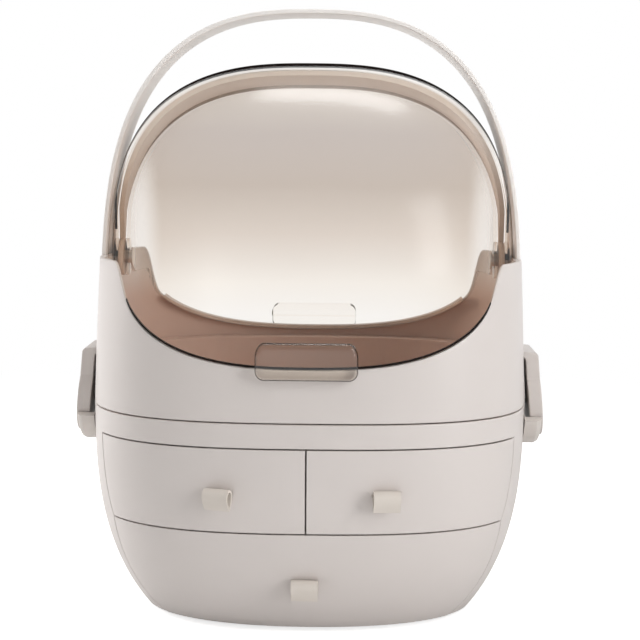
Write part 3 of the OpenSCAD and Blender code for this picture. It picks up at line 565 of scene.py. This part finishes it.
def slab_faces(rows, cols):
    """Faces of a closed slab of two layers, each with rows x cols quads."""
    n, m = cols + 1, rows + 1

    def at(layer, j, i):
        return layer * n * m + j * n + i
    faces = []
    for layer in (0, 1):
        for j in range(rows):
            for i in range(cols):
                quad = (at(layer, j, i), at(layer, j, i + 1), at(layer, j + 1, i + 1), at(layer, j + 1, i))
                faces.append(quad if layer == 0 else quad[::-1])
    for i in range(cols):
        faces.append((at(0, 0, i), at(1, 0, i), at(1, 0, i + 1), at(0, 0, i + 1)))
        faces.append((at(0, rows, i), at(0, rows, i + 1), at(1, rows, i + 1), at(1, rows, i)))
    for j in range(rows):
        faces.append((at(0, j, 0), at(0, j + 1, 0), at(1, j + 1, 0), at(1, j, 0)))
        faces.append((at(0, j, cols), at(1, j, cols), at(1, j + 1, cols), at(0, j + 1, cols)))
    return faces


def front_panel(name, z0, z1, side, rows, cols):
    """A curved drawer front as a slab."""
    verts = [front_point(z0 + (z1 - z0) * j / rows, i / cols, side, inset)
             for inset in (0, FRONT_WALL) for j in range(rows + 1) for i in range(cols + 1)]
    return make(name, verts, slab_faces(rows, cols))


def front_y(x, z):
    return -half_d(z) * (1 - (abs(x) / half_w(z)) ** power(z)) ** (1 / power(z))


def front_turn(x, z, d=2):
    """The angle of the front's face at a place, about the upright axis."""
    return math.atan2(front_y(x + d, z) - front_y(x - d, z), 2 * d)


def pull_place(p):
    return Matrix.Translation(Vector((p[0], front_y(*p), p[1])) * MM) @ Matrix.Rotation(front_turn(*p), 4, "Z")


def slot_cutter(p):
    """The slot that a pull's tongue goes through."""
    w, h = PULL_W / 2 + SLOT_ROOM, PULL_T / 2 + SLOT_ROOM
    c = prism("slot", box_outline(-w, w, TONGUE_Z - h, TONGUE_Z + h), 1, *SLOT_CUT)
    c.data.transform(pull_place(p))
    return c


def drop(w, h):
    """A drop shape, narrow at its top."""
    turns = [2 * math.pi * i / LOOP_TURNS for i in range(LOOP_TURNS)]
    return [(w / 2 * math.sin(t) * abs(math.sin(t / 2)) ** LOOP_NARROW, -h / 2 * math.cos(t)) for t in turns]


def strap_pull(name, p, twist):
    """A strap folded into a drop-shaped loop with rounded edges, turned a little about its
    tongue, which goes through the front."""
    outer = drop(LOOP_DEPTH, PULL_H)
    inner = [(y, z + LOOP_RISE) for y, z in drop(LOOP_DEPTH - LOOP_WALLS, PULL_H - LOOP_WALLS)]
    mid_y = -PULL_D / 2 - LOOP_OUT
    w = PULL_W / 2

    def ring_out(x, grow=0.0):
        by, bz = LOOP_OUTER_HALF
        return [(x, mid_y + y * (1 - grow / by), z * (1 - grow / bz)) for y, z in outer]

    def ring_in(x, grow=0.0):
        by, bz = LOOP_INNER_HALF
        return [(x, mid_y + y * (1 + grow / by), LOOP_RISE + (z - LOOP_RISE) * (1 + grow / bz)) for y, z in inner]
    steps = [i / LOOP_EDGE_STEPS for i in range(LOOP_EDGE_STEPS + 1)]
    edge = [(LOOP_EDGE * (1 - math.sin(QUARTER * k)), LOOP_EDGE * (1 - math.cos(QUARTER * (1 - k)))) for k in steps]
    across = [-w + 2 * w * j / LOOP_STEPS for j in range(1, LOOP_STEPS)]
    rings = [ring_out(-w + dx, grow) for dx, grow in edge]
    rings += [ring_out(x) for x in across]
    rings += [ring_out(w - dx, grow) for dx, grow in reversed(edge)]
    rings += [ring_in(w - dx, grow) for dx, grow in edge]
    rings += [ring_in(-x) for x in across]
    rings += [ring_in(-w + dx, grow) for dx, grow in reversed(edge)]
    loop = skin(name, rings, 60)
    middle = Vector((0, mid_y, 0)) * MM
    loop.data.transform(Matrix.Translation(middle) @ Matrix.Rotation(twist, 4, "Z") @ Matrix.Translation(-middle))
    y0 = mid_y + PULL_D / 2 - TONGUE_LAP
    flat = box_outline(-w + TONGUE_INSET, w - TONGUE_INSET, y0, y0 + FRONT_WALL + LOOP_OUT)
    tongue = prism("tongue", flat, 2, TONGUE_Z - PULL_T / 2, TONGUE_Z + PULL_T / 2)
    carve(loop, [tongue], "UNION", 50)
    loop.data.transform(pull_place(p))
    return loop


for side, z0, z1, span, rows, cols in (("left", DRAWER_MID + GAP, DRAWER_TOP - GAP, -1, 22, 72),
                                       ("right", DRAWER_MID + GAP, DRAWER_TOP - GAP, 1, 22, 72),
                                       ("bottom", FOOT_H, DRAWER_MID - GAP, 0, 30, 120)):
    panel = front_panel(side + "_drawer_face", z0, z1, span, rows, cols)
    carve(panel, [slot_cutter(PULLS[side])])
    round_edges(panel, FRONT_EDGE)
    dress(panel, case_mat, side + "_drawer", "case_plastic", side + "_drawer_front")
    pull = strap_pull(side + "_strap_pull", PULLS[side], TWIST[side])
    dress(pull, pull_mat, side + "_drawer", "pull_strap", side + "_drawer_pull")


# ---------------------------------------------------------------- lids and arch
def drum_point(x, angle, inset):
    r = drum_r(x, inset)
    return x, -r * math.cos(angle), PIVOT_Z + r * math.sin(angle)


def x_stations(c, n):
    """Stations from -c to c, closer together towards the cheeks."""
    return [c * math.sin(QUARTER * (2 * i / n - 1)) for i in range(n + 1)]


def lower_angle(x, inset, z):
    """The angle about the pivot at which the drum reaches down to height z."""
    r = max(drum_r(x, inset), 1e-6)
    return math.asin(max(-1, min(1, (z - PIVOT_Z) / r)))


def drum_wall(name, outer, inner, low_edge, top_angle, back=False):
    """A wall of the drum between two insets, from the height low_edge(x) round to top_angle
    (degrees), with flat cheeks that run in to the pivot."""
    top = math.radians(top_angle)
    n, m = LID_ROWS + 1, LID_COLS + 1
    verts, faces = [], []
    for inset in (outer, inner):
        for u in x_stations(1.0, LID_COLS):
            x = u * (CHEEK_X - inset)
            start = lower_angle(x, inset, low_edge(x))
            if back:
                start = math.pi - start
            verts += [drum_point(x, start + (top - start) * k / LID_ROWS, inset) for k in range(n)]

    def at(layer, i, k):
        return (layer * m + i) * n + k
    for layer in (0, 1):
        for i in range(LID_COLS):
            for k in range(LID_ROWS):
                quad = (at(layer, i, k), at(layer, i + 1, k), at(layer, i + 1, k + 1), at(layer, i, k + 1))
                faces.append(quad if layer == 0 else quad[::-1])
    for i in range(LID_COLS):
        faces.append((at(0, i, 0), at(1, i, 0), at(1, i + 1, 0), at(0, i + 1, 0)))
        k = LID_ROWS
        faces.append((at(0, i, k), at(0, i + 1, k), at(1, i + 1, k), at(1, i, k)))
    for i in (0, LID_COLS):
        side = -1 if i == 0 else 1
        rims = [[at(layer, i, k) for k in range(n)] for layer in (0, 1)]
        hubs = []
        for inset, rim in zip((outer, inner), rims):
            hubs.append(len(verts))
            for v in rim:
                y, z = verts[v][1], verts[v][2] - PIVOT_Z
                r = math.hypot(y, z)
                verts.append((side * (CHEEK_X - inset), y / r * CHEEK_BORE, PIVOT_Z + z / r * CHEEK_BORE))
            faces += [(rim[k], hubs[-1] + k, hubs[-1] + k + 1, rim[k + 1]) for k in range(LID_ROWS)]
        faces += [(rims[0][k], rims[1][k], hubs[1] + k, hubs[0] + k) for k in (0, LID_ROWS)]
        faces += [(hubs[0] + k, hubs[1] + k, hubs[1] + k + 1, hubs[0] + k + 1) for k in range(LID_ROWS)]
    return make(name, verts, faces, SLAB_SHARP)


def pivot_discs(x0, x1):
    """A ring-shaped disc with softened rims at each end of the pivot axis."""
    x0, x1, soft_r = x0 + DISC_SET, x1 - DISC_SET, DISC_R - DISC_EDGE
    section = [(x0, soft_r), (x0 + DISC_EDGE, DISC_R), (x1 - DISC_EDGE, DISC_R), (x1, soft_r),
               (x1, DISC_BORE), (x0, DISC_BORE)]
    turns = [2 * math.pi * i / DISC_TURNS for i in range(DISC_TURNS)]
    return [skin("disc", [[(side * x, r * math.cos(t), PIVOT_Z + r * math.sin(t)) for t in turns]
                          for x, r in section], 50) for side in (-1, 1)]


def front_edge(x):
    """Lower edge of the front lid: above the rim and its seal, which ends at the shoulders."""
    beyond = max(0.0, abs(x) - SHOULDER_X)
    return rim_z(x) + EDGE_GAP + SEAL_T * max(0.0, 1 - beyond / SEAL_FADE)


def rear_edge(x):
    return min(rear_rim_z(x) + EDGE_GAP, REAR_SIDE_Z) if abs(x) < SHOULDER_X + 2 else REAR_SIDE_Z


front = drum_wall("front_clear_lid", 0, LID_WALL, front_edge, LID_TOP)
join(front, pivot_discs(CHEEK_X - LID_WALL, CHEEK_X))
dress(front, front_mat, "front_lid", "tinted_clear", "front_lid")
paint(front, cheek_mat, lambda f: abs(f.normal.x) > CHEEK_SIDEWAYS)

rear = drum_wall("rear_clear_lid", D_REAR, D_REAR + LID_WALL, rear_edge, ARCH_BACK - REAR_LAP, back=True)
join(rear, pivot_discs(CHEEK_X - D_REAR - LID_WALL, CHEEK_X - D_REAR))
dress(rear, rear_mat, "rear_lid", "tinted_clear", "rear_lid")


def drum_arc(name, outer, inner, a0, a1, steps):
    """A closed band about the pivot, from a0 to a1 degrees; outer and inner are lists of (radius, x)."""
    rings = []
    for k in range(steps + 1):
        a = math.radians(a0 + (a1 - a0) * k / steps)
        rings.append([(x, -r * math.cos(a), PIVOT_Z + r * math.sin(a)) for r, x in outer + inner[::-1]])
    return tube(name, rings)


def arch_profile(inset):
    c = CHEEK_X - inset
    return [(ARCH_FOOT_R, -c)] + [(drum_r(x, inset), x) for x in x_stations(c, ARCH_COLS)] + [(ARCH_FOOT_R, c)]


def faces_under_arch(face):
    """Whether a face of the arch is one of those that look inwards or towards the sides."""
    away = (face.center - Vector((0, 0, PIVOT_Z * MM))).normalized()
    return face.normal.dot(away) < ARCH_OUTWARDS or away.z < ARCH_OUTWARDS


arch = drum_arc("fixed_arch", arch_profile(D_ARCH), arch_profile(D_ARCH + ARCH_WALL),
                LID_TOP - ARCH_LEAD, ARCH_BACK, ARCH_STEPS)
round_edges(arch, ARCH_EDGE)
join(arch, pivot_discs(CHEEK_X - D_ARCH - ARCH_WALL, CHEEK_X - D_ARCH))
dress(arch, arch_mat, "case", "case_plastic", "lid_arch")
# the faces under the arch and its pivot discs take the painted light and painted shade
paint(arch, arch_underside_painted_mat, faces_under_arch)


# ---------------------------------------------------------------- seals and strips
def half_top_seal(side):
    """Half of the dark strip on the front lid's upper edge, from mid width to the pivot."""
    def section(grow, dip, end):
        xs = [end * math.sin(QUARTER * i / SEAL_COLS) for i in range(SEAL_COLS + 1)]
        line = [((LID_R + grow) / LID_R * drum_r(x) - dip, side * x) for x in xs]
        return line + [(SEAL_FOOT_R, side * end)]
    return drum_arc("top_seal_strip", section(SEAL_PROUD, 0, CHEEK_X), section(-SEAL_T, SEAL_DIP, CHEEK_X - SEAL_W),
                    LID_TOP, LID_TOP + SEAL_ARC, SEAL_STEPS)


top_seal = half_top_seal(-1)
join(top_seal, [half_top_seal(1)])
dress(top_seal, seal_mat, "front_lid", "dark_seal", "front_lid_top_seal")


def rim_strip(name, outer, inner, low_edge, height, end_x, side):
    """A strip that follows the case's rim between two drum surfaces; side is -1 in front, 1 behind."""
    rings = []
    for x in x_stations(end_x, STRIP_COLS):
        points = []
        for inset, rise in ((outer, 0), (outer, height), (inner, height), (inner, 0)):
            z = low_edge(x) + rise
            r = drum_r(x, inset)
            points.append((x, side * math.sqrt(max(0.01, r * r - (z - PIVOT_Z) ** 2)), z))
        rings.append(points)
    return tube(name, rings)


rim_seal = rim_strip("front_rim_seal", 0, LID_WALL, lambda x: rim_z(x) + EDGE_GAP,
                     SEAL_T - STRIP_ROOM, SHOULDER_X - SEAL_END, -1)
round_edges(rim_seal, SEAL_EDGE, STRIP_BEVEL_STEPS)
dress(rim_seal, seal_mat, "front_lid", "dark_seal", "front_lid_rim_seal")

rear_strip = rim_strip("rear_rim_strip", STRIP_SET, D_REAR - STRIP_ROOM, lambda x: rear_rim_z(x) + EDGE_GAP,
                       STRIP_H, STRIP_END_X, 1)
round_edges(rear_strip, STRIP_EDGE, STRIP_BEVEL_STEPS)
dress(rear_strip, brown_seal_mat, "rear_lid", "dark_seal", "rear_lid_rim")


# ---------------------------------------------------------------- front finger tab
def tab_outline(inset=0.0):
    """The tab's face, drawn in by inset: rounded corners, the upper ones taller than wide."""
    w, z0, z1 = TAB_W / 2 - inset, TAB_Z[0] + inset, TAB_Z[1] - inset
    r = TAB_CORNER - inset * TAB_DRAW
    points = []
    for side, tall, first in ((1, TAB_TALL, 0), (-1, TAB_TALL, 90), (-1, 1, 180), (1, 1, 270)):
        cx, rz = side * (w - r), r * tall
        cz = z1 - rz if first < 180 else z0 + rz
        for i in range(CORNER_STEPS + 1):
            a = math.radians(first + 90 * i / CORNER_STEPS)
            points.append((cx + r * math.cos(a), cz + rz * math.sin(a)))
    return points


def tab_rings():
    """A softly rounded outer face, and behind it an end that follows the lid."""
    rings = []
    for i in range(TAB_STEPS + 1):
        a = QUARTER * i / TAB_STEPS
        y = -TAB_OUT + TAB_ROUND * (1 - math.cos(a))
        rings.append([(x, y, z) for x, z in tab_outline(TAB_ROUND * (1 - math.sin(a)))])
    back = []
    for x, z in tab_outline():
        lid_y = math.sqrt(max(1, drum_r(x) ** 2 - (z - PIVOT_Z) ** 2)) + TAB_GAP
        back.append((x, -min(max(lid_y, TAB_IN), TAB_OUT - TAB_ROUND - TAB_LEAST), z))
    return rings + [back]


dress(tube("front_finger_tab", tab_rings()), tab_mat, "front_lid", "tinted_clear", "front_lid_tab")


# ---------------------------------------------------------------- handle
def bow(t, inset):
    """The handle's bow seen from the front, t from 0 at the top."""
    rise = HANDLE_TOP - ARM_Z0 - inset
    return ((HANDLE_X - inset) * math.sin(t) ** SPREAD_POWER,
            ARM_Z0 + rise * max(0.0, math.cos(t)) ** RISE_POWER)


def paddle_x(x, z):
    """A place on the paddle's leaning face: x at the hub's height, moved to height z."""
    return x - LEAN * (z - HUB_Z)


def handle_mesh():
    """The strap seen from the front, cut to the side view: a strap that ends in a round paddle."""
    turns = [QUARTER * i / BOW_STEPS for i in range(BOW_STEPS + 1)]
    outer = [p for p in (bow(t, 0) for t in turns) if p[1] > ARM_JOIN]
    inner = [p for p in (bow(t, STRAP_T) for t in reversed(turns)) if p[1] > ARM_JOIN]
    foot = HUB_Z - PADDLE_R
    top_x = paddle_x(PADDLE_OUT, NECK_Z)
    neck = [(HANDLE_X, ARM_JOIN), (HANDLE_X + 1.0, NECK_Z + 1.2), (HANDLE_X + 3.2, NECK_Z - 0.4),
            (top_x - 2, NECK_Z - 0.8), (top_x - 0.7, NECK_Z - 1.5), (top_x + 0.2, NECK_Z - 3)]
    paddle = [(paddle_x(PADDLE_OUT, foot), foot), (paddle_x(PADDLE_IN, foot), foot),
              (paddle_x(PADDLE_IN, NECK_Z - 5.5), NECK_Z - 5.5), (HANDLE_X - STRAP_T, NECK_Z + 1)]
    half = outer + neck + paddle + inner
    body = prism("carry_handle", half + [(-x, z) for x, z in half[-2:0:-1]], 1, -STRAP_W, STRAP_W)
    neck_turn = math.degrees(math.asin(STRAP_W / 2 / PADDLE_R))
    turns = [math.radians(90 - neck_turn - (360 - 2 * neck_turn) * i / PADDLE_STEPS) for i in range(PADDLE_STEPS + 1)]
    side = [(PADDLE_R * math.cos(a), HUB_Z + PADDLE_R * math.sin(a)) for a in turns]
    side = [(STRAP_W / 2, FAR)] + side + [(-STRAP_W / 2, FAR)]
    carve(body, [prism("side_view", side, 0, -CUT_HANDLE, CUT_HANDLE)], "INTERSECT", 30)
    round_edges(body, STRAP_EDGE, 3, 30)
    return body


dress(handle_mesh(), handle_mat, "handle", "handle_plastic", "handle")


# ---------------------------------------------------------------- carried-over CAD nodes
def finish_node(name, mat, bevel=0.0):
    """A material, and where it shows a small bevel, for a solid that stays as the CAD made it."""
    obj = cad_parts[name]
    if not obj.data.materials:
        obj.data.materials.append(mat)
    for slot in obj.material_slots:
        slot.material = mat
    if bevel:
        weld = obj.modifiers.new("weld", "WELD")
        weld.merge_threshold = WELD_REACH
        round_edges(obj, bevel, 3, 40)


# the inner tray takes the compartment's painted shade
for names, mat, bevel in (
        (["inner_tray"], inside_mat, 0), (["lid_pivot_pins"], pin_mat, 0), (["base_feet"], foot_mat, 0.6),
        (["drawer_frame", "base_plate"], inner_mat, 0), (["base_screws", "handle_screws"], steel_mat, 0),
        (["rear_lid_tab"], rear_tab_mat, 2.4), (["handle_caps", "hub_base_left", "hub_base_right"], hub_mat, 0),
        (["left_drawer_box", "right_drawer_box", "bottom_drawer_box"], inner_mat, 0)):
    for name in names:
        finish_node(name, mat, bevel)


# ---------------------------------------------------------------- stage, light, camera
FLOOR, FLOOR_LIFT, FLOOR_FADE = 6000, 0.72, (0.5, 1.1)  # mm; strength; metres from the object
ROOM_DEPTH, ROOM_FRONT = (-0.6, 0.6), 0.42  # the room in reflections, from front to back
ROOM_WIDTH, ROOM_LEFT = (-0.12, 0.12), 0.45  # and from left to right
WORLD_TINT, WORLD_LIGHT = (1, 0.985, 0.97, 1), 0.36


def floor_material():
    """A pale floor that keeps the object's shadow, lifted to white for the camera."""
    mat, nt, out = material("floor_look")
    grain = node(nt, "ShaderNodeTexNoise", {"Scale": 3.0}).outputs["Fac"]
    diffuse = node(nt, "ShaderNodeBsdfDiffuse", {"Color": level_ramp(nt, grain, (0.3, 0.84), (0.7, 0.86))})
    rays = node(nt, "ShaderNodeLightPath").outputs

    def glow(strength):
        return node(nt, "ShaderNodeEmission", {"Color": WHITE, "Strength": strength}).outputs["Emission"]
    lifted = node(nt, "ShaderNodeAddShader", {
        0: mix_shader(nt, rays["Is Camera Ray"], glow(0.0), glow(FLOOR_LIFT)), 1: diffuse.outputs["BSDF"]})
    # far from the object the floor is plain white for the camera and in reflections, as the world is
    place = node(nt, "ShaderNodeTexCoord").outputs["Object"]
    reach = node(nt, "ShaderNodeVectorMath", {0: place}, operation="LENGTH").outputs["Value"]
    looked = calc(nt, "MAXIMUM", rays["Is Camera Ray"], rays["Is Glossy Ray"])
    far_seen = calc(nt, "MULTIPLY", spread(nt, reach, *FLOOR_FADE), looked)
    nt.links.new(mix_shader(nt, far_seen, lifted.outputs["Shader"], glow(1.0)), out.inputs["Surface"])
    return mat


floor = make("floor", [(x, y, 0) for x, y in box_outline(-FLOOR, FLOOR, -FLOOR, FLOOR)], [(0, 1, 2, 3)], smooth=False)
floor.data.materials.append(floor_material())


def studio_world():
    """White to look at, a dim even light for surfaces, and a graded room in reflections."""
    world = bpy.data.worlds.new("studio")
    world.use_nodes = True
    nt = world.node_tree
    nt.nodes.clear()
    out = nt.nodes.new("ShaderNodeOutputWorld")
    rays = node(nt, "ShaderNodeLightPath").outputs

    def background(color, strength):
        return node(nt, "ShaderNodeBackground", {"Color": color, "Strength": strength}).outputs["Background"]
    # reflections see a bright back and a softer front, brighter towards the right
    aim = node(nt, "ShaderNodeTexCoord").outputs["Generated"]
    behind = spread(nt, part_of(nt, aim, "Y"), *ROOM_DEPTH, ROOM_FRONT)
    across = spread(nt, part_of(nt, aim, "X"), *ROOM_WIDTH, ROOM_LEFT)
    room = background(WHITE, calc(nt, "MULTIPLY", behind, across))
    lit = mix_shader(nt, rays["Is Glossy Ray"], background(WORLD_TINT, WORLD_LIGHT), room)
    looked = calc(nt, "MAXIMUM", rays["Is Camera Ray"], rays["Is Transmission Ray"])
    nt.links.new(mix_shader(nt, looked, lit, background(WHITE, 1.0)), out.inputs["Surface"])
    return world


scene.world = studio_world()


def add_object(name, data):
    obj = bpy.data.objects.new(name, data)
    scene.collection.objects.link(obj)
    return obj


def softbox(name, place, target, size, watts, mirrored=False, lights=True):
    """A rectangular lamp; mirrored shows it in reflections, lights lets it light surfaces."""
    data = bpy.data.lights.new(name, "AREA")
    data.shape, data.energy = "RECTANGLE", watts
    data.size, data.size_y = size
    obj = add_object(name, data)
    obj.location = place
    obj.rotation_euler = (Vector(target) - Vector(place)).to_track_quat("-Z", "Y").to_euler()
    obj.visible_glossy, obj.visible_diffuse = mirrored, lights


softbox("key_right", (1.15, -0.95, 0.62), (0, 0, 0.18), (0.6, 1.1), 10.8, mirrored=True)
softbox("rim_left", (-1.2, 0.42, 0.35), (-0.05, 0, 0.2), (0.5, 1.0), 14.0)
softbox("top", (0, -0.1, 1.5), (0, 0, 0.2), (1.2, 1.0), 6.6)
softbox("fill_low", (0, -1.5, 0.12), (0, 0, 0.25), (1.2, 0.2), 1.3)
softbox("sheen_top", (0.12, 0.42, 1.52), (0, -0.07, 0.33), (0.7, 0.3), 5.6, mirrored=True, lights=False)

# the camera as fitted to the photo: place in mm, lens in mm, turn, tilt and roll
CAMERA_PLACE, CAMERA_LENS = (21.3, -1024.9, 302.1), 88.9
turn, tilt, roll = math.radians(0.856), math.radians(6.329), math.radians(0.506)
forward = Vector((-math.sin(turn) * math.cos(tilt), math.cos(turn) * math.cos(tilt), -math.sin(tilt)))
level_right = forward.cross(Vector((0, 0, 1))).normalized()
level_up = level_right.cross(forward).normalized()
right = level_right * math.cos(roll) + level_up * math.sin(roll)
up = level_up * math.cos(roll) - level_right * math.sin(roll)
cam_data = bpy.data.cameras.new("camera")
cam_data.sensor_width, cam_data.lens = 36, CAMERA_LENS
cam = add_object("camera", cam_data)
cam.matrix_world = Matrix.Translation(Vector(CAMERA_PLACE) * MM) @ Matrix((right, up, -forward)).transposed().to_4x4()
scene.camera = cam
scene.view_settings.view_transform = "Standard"
